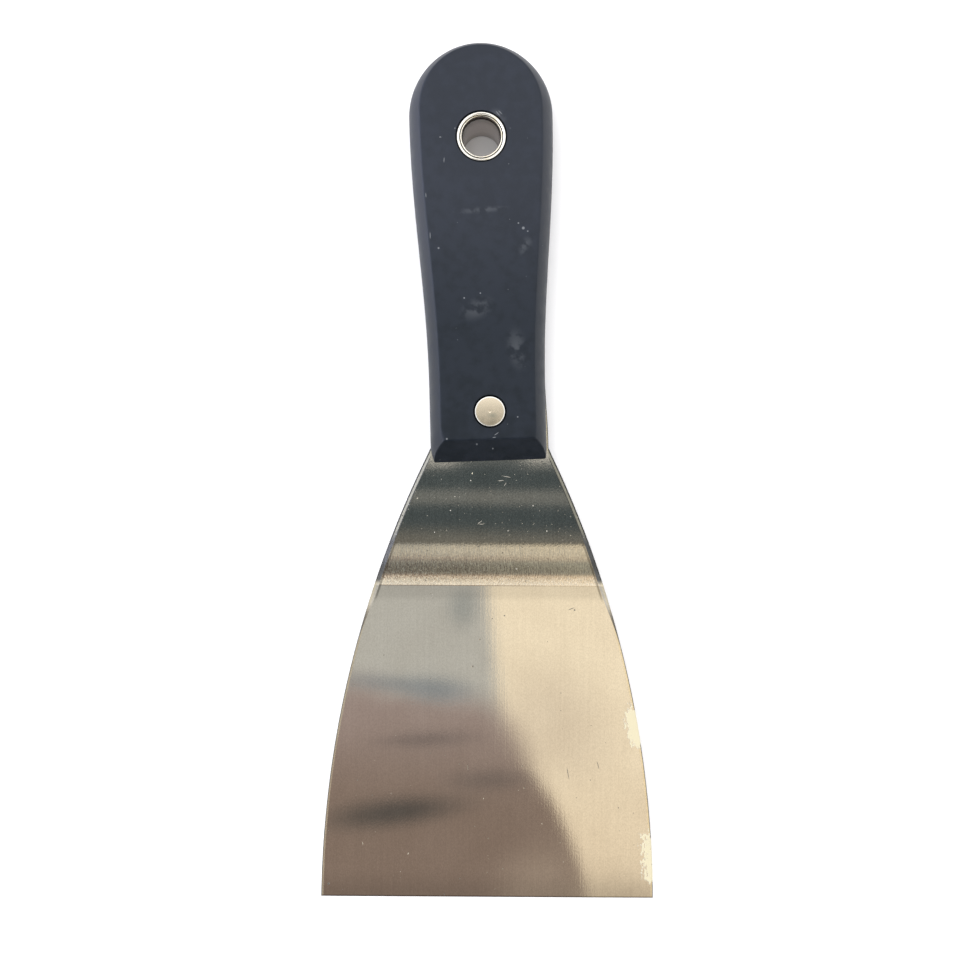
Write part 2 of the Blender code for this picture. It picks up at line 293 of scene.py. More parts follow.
def handle_axis_x(y):
    """The X of the handle's axis at a Y, and beyond the butt's centre the butt centre's own."""
    return -math.tan(HANDLE_CANT) * (min(y, BUTT_CENTRE_Y) - PIVOT_Y)


def handle_half_width(behind_butt):
    """Half the handle's width this far in front of the butt's centre."""
    swell = 1 - ease(behind_butt / SWELL_LENGTH)
    return NECK_HALF_WIDTH + (BUTT_RADIUS - NECK_HALF_WIDTH) * swell


# Mesh tools

def new_piece(name, bm, finish, cad_node):
    """A shown piece of the object, made from bm, that stands for the CAD node."""
    bmesh.ops.recalc_face_normals(bm, faces=bm.faces)
    mesh = bpy.data.meshes.new(name)
    bm.to_mesh(mesh)
    bm.free()
    mesh.materials.append(finish)
    mesh.shade_smooth()
    piece = bpy.data.objects.new(name, mesh)
    bpy.context.scene.collection.objects.link(piece)
    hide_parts(cad_node)
    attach(piece, "root")
    return piece


def loft(rings):
    """A bmesh through rings of equally many points, with a flat face over each end."""
    bm = bmesh.new()
    rows = [[bm.verts.new(point) for point in ring] for ring in rings]
    count = len(rows[0])
    for low, high in zip(rows, rows[1:]):
        for i in range(count):
            j = (i + 1) % count
            bm.faces.new((low[i], low[j], high[j], high[i]))
    bm.faces.new(rows[0])
    bm.faces.new(rows[-1])
    return bm


def lathe(profile, place):
    """A bmesh turned about the vertical through place, from a closed (radius, height) outline."""
    bm = bmesh.new()
    verts = []
    for i in range(ROUND_STEPS):
        turn = 2 * math.pi * i / ROUND_STEPS
        out = Vector((math.cos(turn), math.sin(turn), 0))
        verts.append([bm.verts.new(place + out * r + Vector((0, 0, z))) for r, z in profile])
    for i in range(ROUND_STEPS):
        here = verts[i]
        there = verts[(i + 1) % ROUND_STEPS]
        for a in range(len(profile)):
            b = (a + 1) % len(profile)
            if profile[a][0] > 0 or profile[b][0] > 0:
                bm.faces.new((here[a], here[b], there[b], there[a]))
    bmesh.ops.remove_doubles(bm, verts=bm.verts, dist=MERGE_DISTANCE)
    bmesh.ops.dissolve_degenerate(bm, edges=bm.edges, dist=MERGE_DISTANCE)
    return bm


def arc(centre, radii, start, end):
    """Points on a stretch of an ellipse, between two angles in degrees."""
    points = []
    for degrees in steps(start, end, ARC_STEPS):
        turn = math.radians(degrees)
        points.append((centre[0] + radii[0] * math.cos(turn), centre[1] + radii[1] * math.sin(turn)))
    return points


def turned_over(profile):
    """A profile for the front face, mirrored to the back face."""
    return [(r, FLOOR_Z + TOP_Z - z) for r, z in profile]


def cut_holes(piece):
    """Cuts the seats and bores of the eyelet and the rivet through a piece."""
    for bm in (eyelet_hole(), rivet_hole()):
        mesh = bpy.data.meshes.new("hole")
        bmesh.ops.recalc_face_normals(bm, faces=bm.faces)
        bm.to_mesh(mesh)
        bm.free()
        cutter = bpy.data.objects.new("hole", mesh)
        bpy.context.scene.collection.objects.link(cutter)
        modifier = piece.modifiers.new("hole", "BOOLEAN")
        modifier.operation = "DIFFERENCE"
        modifier.solver = "EXACT"
        modifier.object = cutter
        bpy.context.view_layer.update()
        graph = bpy.context.evaluated_depsgraph_get()
        cut = bpy.data.meshes.new_from_object(piece.evaluated_get(graph), depsgraph=graph)
        piece.modifiers.clear()
        piece.data = cut
        bpy.data.objects.remove(cutter)


def stepped_hole(seat, depth, bore, place):
    """A cutter: a bore through everything, with a wider seat of this depth at each face."""
    beyond = TOP_Z + CUTTER_REACH
    floor = TOP_Z - depth
    half = [(0, beyond), (seat, beyond), (seat, floor), (bore, floor)]
    return lathe(half + turned_over(half)[::-1], place)


def eyelet_hole():
    depth = TOP_Z - FLANGE_TOP + FLANGE_DEPTH + FIT
    return stepped_hole(FLANGE_RADIUS + FIT, depth, BORE_RADIUS + 2 * (WALL + FIT), EYELET_PLACE)


def rivet_hole():
    depth = TOP_Z - RIVET_TOP + RIVET_HEAD_HEIGHT + GAP
    return stepped_hole(RIVET_SEAT_RADIUS, depth, BARREL_RADIUS + GAP, RIVET_PLACE)


# Blade

def blade_side(distance):
    """Half the blade's width on its side arc, this far from the working edge."""
    along = SIDE_CENTRE_AT / SIDE_RADIUS
    middle = BLADE_WIDTH / 2 - SIDE_RADIUS * math.sqrt(1 - along * along)
    return middle + math.sqrt(SIDE_RADIUS ** 2 - (distance - SIDE_CENTRE_AT) ** 2)


def tang_sides(y):
    """The tang's left and right X at a Y up to the butt's centre."""
    flare = TANG_FLARE * (1 - ease((y - from_edge(SHOULDER_AT)) / TANG_FLARE_LENGTH))
    half = handle_half_width(BUTT_CENTRE_Y - y) - TANG_INSET + flare
    middle = handle_axis_x(y) + TANG_SHIFT
    return middle - half, middle + half


def ramp_rise(distance):
    """0 to 1 up the ground ramp, which starts steep at a crisp foot and levels off."""
    left = (RAMP_TOP_AT - distance) / (RAMP_TOP_AT - RAMP_FOOT_AT)
    return 1 - min(1.0, max(0.0, left)) ** RAMP_POWER


def half_thickness(distance):
    """Half the steel's thickness: thin blade, ground ramp, then the full root and tang."""
    if distance < RAMP_FOOT_AT:
        share = distance / RAMP_FOOT_AT
        return (EDGE_THICKNESS + (THIN_THICKNESS - EDGE_THICKNESS) * share) / 2
    return (THIN_THICKNESS + (ROOT_THICKNESS - THIN_THICKNESS) * ramp_rise(distance)) / 2


def side_bevel(distance):
    """The width of the ground bevel along the side, fading out towards both of its ends."""
    fade_in = ease((distance - SIDE_BEVEL_ENDS_AT) / (RAMP_FOOT_AT - SIDE_BEVEL_ENDS_AT))
    fade_out = ease((SHOULDER_AT - distance) / (SHOULDER_AT - HANDLE_FRONT_AT))
    return EDGE_BREAK + (SIDE_BEVEL_WIDTH - EDGE_BREAK) * fade_in * fade_out


def wave(x, distance):
    """How far the steel's face lies below flat, in slow waves left by the grinding."""
    slow = sum(math.sin(x * across + distance * along) for across, along in WAVE_TURNS)
    fade = ease(distance / WAVE_FADE) * ease((SHOULDER_AT - distance) / WAVE_FADE)
    return WAVE_HEIGHT * (2 + slow) / 4 * fade


def steel_section(distance, left, right):
    """One cross-section of the steel: flat faces with a bevel to each side."""
    thick = half_thickness(distance)
    bevel = min(side_bevel(distance), (right - left) * WIDEST_BEVEL_SHARE)
    thin = max(THINNEST_SIDE * thick, thick - SIDE_BEVEL_SLOPE * bevel)
    y = from_edge(distance)
    upper = [(left, thin)]
    for x in steps(left + bevel, right - bevel, BLADE_COLUMNS):
        upper.append((x, thick - wave(x, distance)))
    upper.append((right, thin))
    points = upper + [(x, -z) for x, z in reversed(upper)]
    return [(x, y, MID_Z + z) for x, z in points]


def blade_stations():
    """(first, last, count) stretches of the steel from the working edge to the butt's centre."""
    flare_end_at = SHOULDER_AT + TANG_FLARE_LENGTH
    past_shoulder = SHOULDER_AT + EDGE_BREAK
    stretches = (
        (0, EDGE_BREAK, 2),
        (EDGE_BREAK, SIDE_BEVEL_ENDS_AT, 60),
        (SIDE_BEVEL_ENDS_AT, RAMP_FOOT_AT - RAMP_FOOT_BREAK, 24),
        (RAMP_FOOT_AT - RAMP_FOOT_BREAK, RAMP_FOOT_AT + RAMP_FOOT_BREAK, 2),
        (RAMP_FOOT_AT + RAMP_FOOT_BREAK, RAMP_TOP_AT, 60),
        (RAMP_TOP_AT, HANDLE_FRONT_AT, 56),
        (HANDLE_FRONT_AT, past_shoulder, 20),
        (past_shoulder, flare_end_at, 12),
        (flare_end_at, BUTT_CENTRE_Y - EDGE_Y, 30),
    )
    stations = [0]
    for first, last, count in stretches:
        stations += steps(first, last, count)[1:]
    return stations


def blade_sections():
    sections = []
    for distance in blade_stations():
        side = blade_side(distance)
        left, right = tang_sides(max(from_edge(distance), from_edge(SHOULDER_AT)))
        if distance < SHOULDER_AT:
            left = min(left, -side)
            right = max(right, side)
        sections.append(steel_section(distance, left, right))
    end_radius = BUTT_RADIUS - TANG_INSET
    middle = handle_axis_x(BUTT_CENTRE_Y) + TANG_SHIFT
    for i in range(1, BUTT_STEPS // 2):
        turn = math.pi * i / BUTT_STEPS
        half = end_radius * math.cos(turn)
        distance = BUTT_CENTRE_Y - EDGE_Y + end_radius * math.sin(turn)
        sections.append(steel_section(distance, middle - half, middle + half))
    return sections


def make_blade(steel):
    sections = blade_sections()
    bm = loft(sections)
    bm.verts.ensure_lookup_table()
    ring = len(sections[0])
    half = ring // 2
    creases = {0, 1, half - 2, half - 1, half, half + 1, ring - 2, ring - 1}
    for edge in bm.edges:
        a, b = (vert.index for vert in edge.verts)
        if abs(a - b) == ring and a % ring in creases:
            edge.smooth = False
    for edge in bm.edges:
        if all(vert.index < ring for vert in edge.verts):
            edge.smooth = False
    piece = new_piece("blade_surface", bm, steel, "blade")
    cut_holes(piece)
    return piece


# Handle scales

def bend(a, corner, b, t):
    """A point at t on the smooth bend from a to b that the corner pulls towards itself."""
    return (1 - t) ** 2 * a + 2 * t * (1 - t) * corner + t * t * b


def side_inset(share):
    """How far the scale's side has come in at this share of the scale's thickness."""
    return SIDE_INSET * share ** SIDE_CURVE


def corner_column(side, inset, front):
    """One side's points over its last stretch and around its corner to the front."""
    points = []
    stretch = CORNER_LENGTH - CORNER_ROUND
    for t in steps(0, stretch / CORNER_LENGTH, 8)[1:]:
        y = front + CORNER_LENGTH * (1 - t)
        half = handle_half_width(-y) - inset - CORNER_TAPERS[side] * t * t
        points.append((half, y + math.tan(FRONT_SKEW) * side * half * t))
    tip_x = points[-1][0]
    tip_y = points[-1][1] - CORNER_ROUND
    for t in steps(0, 1, ROUND_OVER_STEPS)[1:]:
        x = bend(tip_x, tip_x, tip_x - CORNER_ROUND, t)
        y = bend(tip_y + CORNER_ROUND, tip_y, tip_y, t)
        points.append((x, y))
    return [(side * x, y) for x, y in points]


def butt_fullness(turn):
    """The share of the inset that the scale's end does without, most at the tip of the butt."""
    return BUTT_FULLNESS * max(0.0, math.sin(turn)) ** BUTT_FULLNESS_CURVE


def scale_outline(inset, setback):
    """The scale's outline at one height, in the handle's own frame: the butt's centre is the
    origin and the blade lies towards -Y."""
    front = from_edge(HANDLE_FRONT_AT) - BUTT_CENTRE_Y + setback
    points = []
    for i in range(BUTT_STEPS + 1):
        turn = math.pi * i / BUTT_STEPS
        radius = BUTT_RADIUS - inset * (1 - butt_fullness(turn))
        points.append((radius * math.cos(turn), radius * math.sin(turn)))
    sides = {}
    for side in (-1, 1):
        column = [(side * (handle_half_width(-y) - inset), y)
                  for y in steps(0, front + CORNER_LENGTH, SIDE_STEPS)[1:]]
        sides[side] = column + corner_column(side, inset, front)
    left_end = Vector(sides[-1][-1])
    right_end = Vector(sides[1][-1])
    across = [tuple(left_end.lerp(right_end, t)) for t in steps(0, 1, 16)[1:-1]]
    return points + sides[-1] + across + sides[1][::-1]


def scale_levels():
    """(height, inset, setback) of each outline, from the seam up to the flat outer face."""
    levels = [(0.0, SEAM_BREAK, 0.0)]
    shoulder = 1 - CREASE_BREAK / SCALE_THICKNESS
    for share in steps(SEAM_BREAK / SCALE_THICKNESS, shoulder, 18):
        levels.append((share * SCALE_THICKNESS, side_inset(share), FRONT_SLOPE_RUN * share))
    height, inset, setback = levels[-1]
    for t in steps(0, 1, ROUND_OVER_STEPS)[1:]:
        levels.append((
            bend(height, SCALE_THICKNESS, SCALE_THICKNESS, t),
            bend(inset, SIDE_INSET, SIDE_INSET + CREASE_BREAK, t),
            bend(setback, FRONT_SLOPE_RUN, FRONT_SLOPE_RUN + CREASE_BREAK, t),
        ))
    height, inset, setback = levels[-1]
    levels.append((height, inset + CREASE_BREAK, setback + CREASE_BREAK))
    return levels


def make_scale(name, cad_node, facing, plastic):
    """facing is 1 for the front scale and -1 for the back one."""
    rings = []
    for height, inset, setback in scale_levels():
        rings.append([(x, y, height) for x, y in scale_outline(inset, setback)])
    bm = loft(rings)
    inner_z = MID_Z + facing * (ROOT_THICKNESS / 2 + GAP)
    place = Matrix.Translation(Vector((handle_axis_x(BUTT_CENTRE_Y), BUTT_CENTRE_Y, inner_z)))
    lean = Matrix.Rotation(HANDLE_CANT, 4, "Z")
    flip = Matrix.Diagonal((1, 1, facing, 1))
    bmesh.ops.transform(bm, matrix=place @ lean @ flip, verts=bm.verts)
    piece = new_piece(name, bm, plastic, cad_node)
    cut_holes(piece)
    piece.data.set_sharp_from_angle(angle=SMOOTH_BELOW)
    return piece


# Fasteners

def make_turned(name, cad_node, profile, place, brass):
    """A turned piece in the given brass."""
    piece = new_piece(name, lathe(profile, place), brass, cad_node)
    piece.data.set_sharp_from_angle(angle=SMOOTH_BELOW)
    return piece


def flange_outside(wall, top):
    """The outer side of a flange from the wall under it, around its rim, up to its crown."""
    under = top - FLANGE_DEPTH
    rim = arc((CROWN_RADIUS, top - RIM_DROP), (FLANGE_RADIUS - CROWN_RADIUS, RIM_DROP), 0, 90)
    return [(wall, under), (FLANGE_RADIUS, under)] + rim


def eyelet_front_profile():
    """The collar: a rolled flange on a short barrel, around the tube of the back piece."""
    top = FLANGE_TOP
    inner = BORE_RADIUS + WALL + FIT
    outer = inner + WALL
    mouth = arc((CROWN_RADIUS, top - MOUTH_DEPTH), (CROWN_RADIUS - inner, MOUTH_DEPTH), 90, 180)
    barrel = [(inner, top - COLLAR_LENGTH), (outer, top - COLLAR_LENGTH)]
    return barrel + flange_outside(outer, top) + mouth[1:]


def eyelet_back_profile():
    """The tube: its own flange at the back, and a lip flared inside the front collar."""
    top = FLANGE_TOP
    outer = BORE_RADIUS + WALL
    throat = (CROWN_RADIUS, top - MOUTH_DEPTH)
    lip_outside = arc(throat, (CROWN_RADIUS - outer, MOUTH_DEPTH + FIT), 180, 180 - LIP_TURN)
    lip_inside = arc(
        throat, (CROWN_RADIUS - BORE_RADIUS, MOUTH_DEPTH + FIT + WALL), 180 - LIP_TURN, 180)
    mouth = arc(throat, (CROWN_RADIUS - BORE_RADIUS, MOUTH_DEPTH), 90, 180)
    back = turned_over(flange_outside(outer, top) + mouth[1:])
    return lip_outside + lip_inside + back[::-1]


def rivet_head(top):
    """The flat head, from the mark at its centre out over its rounded rim."""
    mark = arc((0, top), (CENTRE_MARK_RADIUS, -CENTRE_MARK_DEPTH), 90, 0)
    rim = arc((RIVET_HEAD_RADIUS - RIVET_RIM, top - RIVET_RIM), (RIVET_RIM, RIVET_RIM), 90, 0)
    return mark + rim + [(RIVET_HEAD_RADIUS, top - RIVET_HEAD_HEIGHT)]


def rivet_front_profile():
    """The hollow half: a flat head on a barrel that is open at its inner end."""
    under = RIVET_TOP - RIVET_HEAD_HEIGHT
    end = TOP_Z - RIVET_TOP + RIVET_HEAD_HEIGHT + GAP + FLOOR_Z
    barrel = [(BARREL_RADIUS, under), (BARREL_RADIUS, end), (BARREL_BORE, end)]
    return rivet_head(RIVET_TOP) + barrel + [(BARREL_BORE, under), (0, under)]


def rivet_back_profile():
    """The pin half: a flat head on a solid shank that is pressed into the barrel."""
    tip = TOP_Z - RIVET_TOP + RIVET_HEAD_HEIGHT + GAP + FLOOR_Z
    shank = [(PIN_RADIUS, RIVET_TOP - RIVET_HEAD_HEIGHT), (PIN_RADIUS, tip + RIVET_RIM)]
    return turned_over(rivet_head(RIVET_TOP) + shank + [(PIN_RADIUS - RIVET_RIM, tip), (0, tip)])


# Node tools

def node(tree, kind, inputs=None, **settings):
    """A new shader node. An input's value is a constant or another node's output."""
    made = tree.nodes.new("ShaderNode" + kind)
    for key, value in settings.items():
        setattr(made, key, value)
    for key, value in (inputs or {}).items():
        if isinstance(value, bpy.types.NodeSocket):
            tree.links.new(value, made.inputs[key])
        else:
            made.inputs[key].default_value = value
    return made


def maths(tree, operation, *values):
    return node(tree, "Math", dict(enumerate(values)), operation=operation).outputs[0]


def remap(tree, value, low, high, new_low=0.0, new_high=1.0):
    """A smooth step of value from low to high, onto the new range."""
    inputs = {"Value": value, "From Min": low, "From Max": high, "To Min": new_low, "To Max": new_high}
    return node(tree, "MapRange", inputs, interpolation_type="SMOOTHSTEP").outputs["Result"]


def falling(tree, value, low, high):
    """1 below low, 0 above high."""
    return remap(tree, value, low, high, 1.0, 0.0)


def band(tree, value, start, full, fading, end):
    """0 up to start, 1 from full to fading, and 0 again from end."""
    return maths(tree, "MULTIPLY", remap(tree, value, start, full), falling(tree, value, fading, end))


def mix(tree, share, first, second):
    """Two colours mixed. A colour is a triple or another node's output."""
    made = node(tree, "Mix", {"Factor": share}, data_type="RGBA")
    for index, colour in ((6, first), (7, second)):
        if isinstance(colour, bpy.types.NodeSocket):
            tree.links.new(colour, made.inputs[index])
        else:
            made.inputs[index].default_value = (*colour, 1)
    return made.outputs[2]


def scaled(tree, vector, factors, shift=(0, 0, 0)):
    inputs = {0: vector, 1: factors, 2: shift}
    return node(tree, "VectorMath", inputs, operation="MULTIPLY_ADD").outputs[0]


def noise(tree, vector, factors, detail=2.0, shift=(0, 0, 0)):
    """Noise between about 0.3 and 0.7, with its own number of cells in a metre each way."""
    inputs = {"Vector": scaled(tree, vector, factors, shift), "Scale": 1.0, "Detail": detail}
    return node(tree, "TexNoise", inputs).outputs["Fac"]


def specks(tree, vector, per_metre, share, size, shift=(0, 0, 0)):
    """Small round dots: a share of the cells of a grid has one, of up to this part of a cell."""
    inputs = {"Vector": scaled(tree, vector, (per_metre,) * 3, shift), "Scale": 1.0}
    cells = node(tree, "TexVoronoi", inputs, voronoi_dimensions="2D")
    lot = node(tree, "SeparateColor", {0: cells.outputs["Color"]})
    chosen = maths(tree, "LESS_THAN", lot.outputs["Red"], share)
    radius = maths(tree, "MULTIPLY_ADD", lot.outputs["Green"], size * 0.7, size * 0.3)
    inside = maths(tree, "DIVIDE", cells.outputs["Distance"], radius)
    return maths(tree, "MULTIPLY", falling(tree, inside, 0.6, 1.0), chosen)


def dots(tree, flat, places):
    """1 in each round mark of (x, distance from the edge, radius)."""
    masks = []
    for x, distance, radius in places:
        inputs = {0: flat, 1: (x, from_edge(distance), 0)}
        away = node(tree, "VectorMath", inputs, operation="DISTANCE").outputs["Value"]
        masks.append(falling(tree, away, 0.4 * radius, radius))
    return most(tree, masks)


def scratches(tree, flat, places):
    """1 in each fine scratch of (x, distance from the edge, half-length, turn in degrees)."""
    masks = []
    for x, distance, half_length, turn in places:
        radii = (half_length, SCRATCH_HALF_WIDTH)
        masks.append(spot(tree, flat, (x, from_edge(distance)), radii, math.radians(turn)))
    return most(tree, masks)


def spot(tree, vector, centre, radii, turn=0.0, core=0.55):
    """1 in an ellipse with this centre, half-axes and turn, falling to 0 from its core outwards."""
    moved = node(tree, "Mapping", {
        "Vector": vector,
        "Location": (*centre, 0),
        "Rotation": (0, 0, turn),
        "Scale": (*radii, 1),
    }, vector_type="TEXTURE").outputs[0]
    length = node(tree, "VectorMath", {0: moved}, operation="LENGTH").outputs["Value"]
    return falling(tree, length, core, 1.0)


def most(tree, masks):
    result = masks[0]
    for mask in masks[1:]:
        result = maths(tree, "MAXIMUM", result, mask)
    return result


def new_material(name):
    made = bpy.data.materials.new(name)
    made.use_nodes = True
    tree = made.node_tree
    place = node(tree, "TexCoord").outputs["Object"]
    return made, tree, tree.nodes["Principled BSDF"], place


def drive(tree, shader, colour=None, roughness=None, metallic=None, height=None, depth=0.0):
    """Links worked-out values to the shader; height bumps the surface by up to depth."""
    sockets = {"Base Color": colour, "Roughness": roughness, "Metallic": metallic}
    for key, value in sockets.items():
        if value is not None:
            tree.links.new(value, shader.inputs[key])
    if height is not None:
        bump = node(tree, "Bump", {"Height": height, "Distance": depth})
        tree.links.new(bump.outputs["Normal"], shader.inputs["Normal"])


# Materials

def side_distance(tree, x, distance):
    """How far inside the blade's side arc a point lies, as a node's output."""
    along = SIDE_CENTRE_AT / SIDE_RADIUS
    middle = BLADE_WIDTH / 2 - SIDE_RADIUS * math.sqrt(1 - along * along)
    across = maths(tree, "SUBTRACT", maths(tree, "ABSOLUTE", x), middle)
    down = maths(tree, "SUBTRACT", distance, SIDE_CENTRE_AT)
    squares = maths(tree, "ADD", maths(tree, "POWER", across, 2.0), maths(tree, "POWER", down, 2.0))
    return maths(tree, "SUBTRACT", SIDE_RADIUS, maths(tree, "SQRT", squares))


def paint_flakes(tree, place, x, distance, inside):
    """Where dried cream paint is left along the right side of the blade."""
    upper = band(tree, distance, 0.0320, 0.0370, 0.0410, 0.0460)
    lower = band(tree, distance, 0.0010, 0.0060, 0.0130, 0.0180)
    near = maths(tree, "MULTIPLY_ADD", upper, 1.15, maths(tree, "MULTIPLY", lower, 0.85))
    near = maths(tree, "MULTIPLY", near, falling(tree, inside, 0.0006, 0.0042))
    near = maths(tree, "MULTIPLY", near, maths(tree, "GREATER_THAN", x, 0.0))
    torn = noise(tree, place, (1900, 900, 1900), 4.0, (1, 6, 0))
    return remap(tree, maths(tree, "MULTIPLY_ADD", near, 0.5, torn), 0.76, 0.82)


def steel_marks(tree, place, dull):
    """Dark pits and light flecks, the placed ones and others all over."""
    flat = scaled(tree, place, (1, 1, 0))
    pits = most(tree, [
        dots(tree, flat, BLADE_PITS),
        scratches(tree, flat, DARK_SCRATCHES),
        specks(tree, place, 300, 0.14, 0.05),
    ])
    random_flecks = maths(tree, "MULTIPLY", specks(tree, place, 700, 0.30, 0.10, (7, 3, 0)), dull)
    flecks = most(tree, [
        dots(tree, flat, BLADE_FLECKS),
        maths(tree, "MULTIPLY", scratches(tree, flat, BLADE_SCRATCHES), 0.6),
        maths(tree, "MULTIPLY", random_flecks, 0.4),
    ])
    return pits, flecks


def steel_tone(tree, distance, dull, grain, cloudy, pits):
    """How bright the steel is: grained, duller up the ground ramp, with painted shade towards the
    working edge, below the ramp's foot and across its hollow.
    """
    tone = maths(tree, "MULTIPLY_ADD", grain, maths(tree, "MULTIPLY_ADD", dull, 0.55, 0.35), 1.0)
    tone = maths(tree, "MULTIPLY", tone, maths(tree, "MULTIPLY_ADD", cloudy, 0.16, 0.92))
    tone = maths(tree, "MULTIPLY", tone, maths(tree, "MULTIPLY_ADD", pits, -0.7, 1.0))
    # Painted shade: darker towards the working edge, and darkest on the edge itself.
    tone = maths(tree, "MULTIPLY", tone, remap(tree, distance, 0.0, 0.0070, 0.80, 1.0))
    tone = maths(tree, "MULTIPLY", tone, remap(tree, distance, 0.0001, 0.0004, 0.35, 1.0))
    # Painted shade: darker bands below the ramp's foot and across its hollow.
    foot_painted_shade = band(tree, distance, 0.0675, 0.0695, RAMP_STARTS_AT, RAMP_FOOT_AT)
    tone = maths(tree, "MULTIPLY", tone, maths(tree, "MULTIPLY_ADD", foot_painted_shade, -0.13, 1.0))
    hollow = band(tree, distance, 0.0738, 0.0750, 0.0764, 0.0784)
    return maths(tree, "MULTIPLY", tone, maths(tree, "MULTIPLY_ADD", hollow, -0.22, 1.0))


def steel_colour(tree, distance, inside, cloudy, bevel, edge_wear_and_highlight):
    """Warm grey steel, with a painted reflection up the ramp (a tan foot and a greyer hollow), ground
    bevels painted dark with a lighter highlight band, and a tan line along each side."""
    base = mix(tree, cloudy, (0.70, 0.655, 0.575), (0.69, 0.66, 0.59))
    # Painted reflection up the ground ramp: tan at its foot, greyer higher up, and a greyer band across
    # its hollow.
    ramp = band(tree, distance, RAMP_STARTS_AT, RAMP_FOOT_AT, RAMP_TOP_AT - 0.0020, RAMP_TOP_AT)
    ramp_painted_reflection = mix(tree, remap(tree, distance, 0.0734, 0.0744), (0.82, 0.745, 0.61), (0.53, 0.495, 0.42))
    base = mix(tree, ramp, base, ramp_painted_reflection)
    base = mix(tree, band(tree, distance, 0.0736, 0.0746, 0.0764, 0.0780), base, (0.45, 0.475, 0.43))
    # A tan line along each side: partly wear, partly painted highlight.
    base = mix(tree, maths(tree, "MULTIPLY", edge_wear_and_highlight, 0.5), base, (0.86, 0.76, 0.52))
    # Painted shade on the ground bevels: dark all along, darkest at the very side, with a lighter
    # painted highlight band just inside it.
    bevel_highlight_band = band(tree, inside, 0.0002, 0.0004, 0.0007, 0.0009)
    bevel_shade_and_highlight = mix(tree, bevel_highlight_band, (0.06, 0.06, 0.055), (0.27, 0.26, 0.205))
    root_bevel_painted_shade = mix(tree, remap(tree, distance, 0.081, 0.085), (0.10, 0.10, 0.095), bevel_shade_and_highlight)
    ground = mix(tree, remap(tree, distance, 0.068, 0.073), (0.17, 0.15, 0.12), root_bevel_painted_shade)
    ground = mix(tree, remap(tree, distance, 0.045, 0.060), (0.05, 0.045, 0.035), ground)
    outermost_painted_shade = falling(tree, inside, 0.0001, 0.0004)
    ground = mix(tree, maths(tree, "MULTIPLY", outermost_painted_shade, 0.6), ground, (0.04, 0.04, 0.035))
    # Painted shade: a dark line along the bevels' inner edge beside the ramp.
    by_ramp = band(tree, distance, 0.067, 0.070, 0.0805, 0.0820)
    crease_painted_shade = maths(tree, "MULTIPLY", band(tree, inside, 0.0010, 0.0012, 0.0014, 0.0017), by_ramp)
    base = mix(tree, maths(tree, "MULTIPLY", crease_painted_shade, 0.6), base, (0.14, 0.13, 0.11))
    return mix(tree, bevel, base, ground)


def steel_relief(tree, place, distance, brushed, sandy):
    """The heights of the grinding marks: finest brushing and coarse grain up the ramp."""
    ramp = band(tree, distance, RAMP_STARTS_AT, RAMP_FOOT_AT, RAMP_TOP_AT - 0.0030, RAMP_TOP_AT)
    fine = noise(tree, place, (9000, 60, 9000), 2.0, (0, 2, 0))
    relief = maths(tree, "MULTIPLY_ADD", brushed, 0.5, maths(tree, "MULTIPLY", sandy, 0.5))
    coarse = maths(tree, "MULTIPLY_ADD", fine, 10.0, maths(tree, "MULTIPLY", sandy, 3.0))
    return maths(tree, "MULTIPLY_ADD", ramp, coarse, relief)


def steel_material():
    """Brushed steel: bright flats, a dull ground ramp and bevels that carry painted reflection and
    painted shade, pits, flecks and old paint.
    """
    made, tree, shader, place = new_material("blade_steel")
    axes = node(tree, "SeparateXYZ", {0: place}).outputs
    distance = maths(tree, "SUBTRACT", axes["Y"], EDGE_Y)
    inside = side_distance(tree, axes["X"], distance)
    dull = remap(tree, distance, RAMP_STARTS_AT, RAMP_FOOT_AT + 0.0004)
    facing = node(tree, "SeparateXYZ", {0: node(tree, "TexCoord").outputs["Normal"]}).outputs
    bevel = remap(tree, maths(tree, "ABSOLUTE", facing["X"]), 0.08, 0.3)
    brushed = noise(tree, place, (2600, 35, 2600), 3.0)
    sandy = noise(tree, place, (3600, 2400, 3600), 2.0, (3, 0, 0))
    cloudy = noise(tree, place, (140, 100, 140), 4.0)
    grain = maths(tree, "MULTIPLY_ADD", brushed, 0.35, maths(tree, "SUBTRACT", sandy, 0.675))
    pits, flecks = steel_marks(tree, place, dull)
    flakes = paint_flakes(tree, place, axes["X"], distance, inside)
    # Near each side: partly wear, partly a painted highlight line.
    edge_wear_and_highlight = falling(tree, inside, 0.0004, 0.0007)
    base = steel_colour(tree, distance, inside, cloudy, bevel, edge_wear_and_highlight)
    tone = steel_tone(tree, distance, dull, grain, cloudy, pits)
    colour = node(tree, "VectorMath", {0: base, "Scale": tone}, operation="SCALE").outputs[0]
    colour = mix(tree, flecks, colour, (0.72, 0.71, 0.67))
    colour = mix(tree, flakes, colour, (0.53, 0.48, 0.33))
    roughness = maths(tree, "MULTIPLY_ADD", cloudy, 0.02, 0.028)
    sides = maths(tree, "MAXIMUM", bevel, maths(tree, "MULTIPLY", edge_wear_and_highlight, 0.5))
    roughness = maths(tree, "MULTIPLY_ADD", sides, 0.30, roughness)
    roughness = maths(tree, "MULTIPLY_ADD", most(tree, [pits, flecks, flakes]), 0.4, roughness)
    metal = maths(tree, "SUBTRACT", 1.0, flakes)
    relief = maths(tree, "SUBTRACT", steel_relief(tree, place, distance, brushed, sandy), pits)
    relief = maths(tree, "MULTIPLY_ADD", flakes, 8.0, relief)
    drive(tree, shader, colour, roughness, metal, relief, STEEL_RELIEF)
    return made


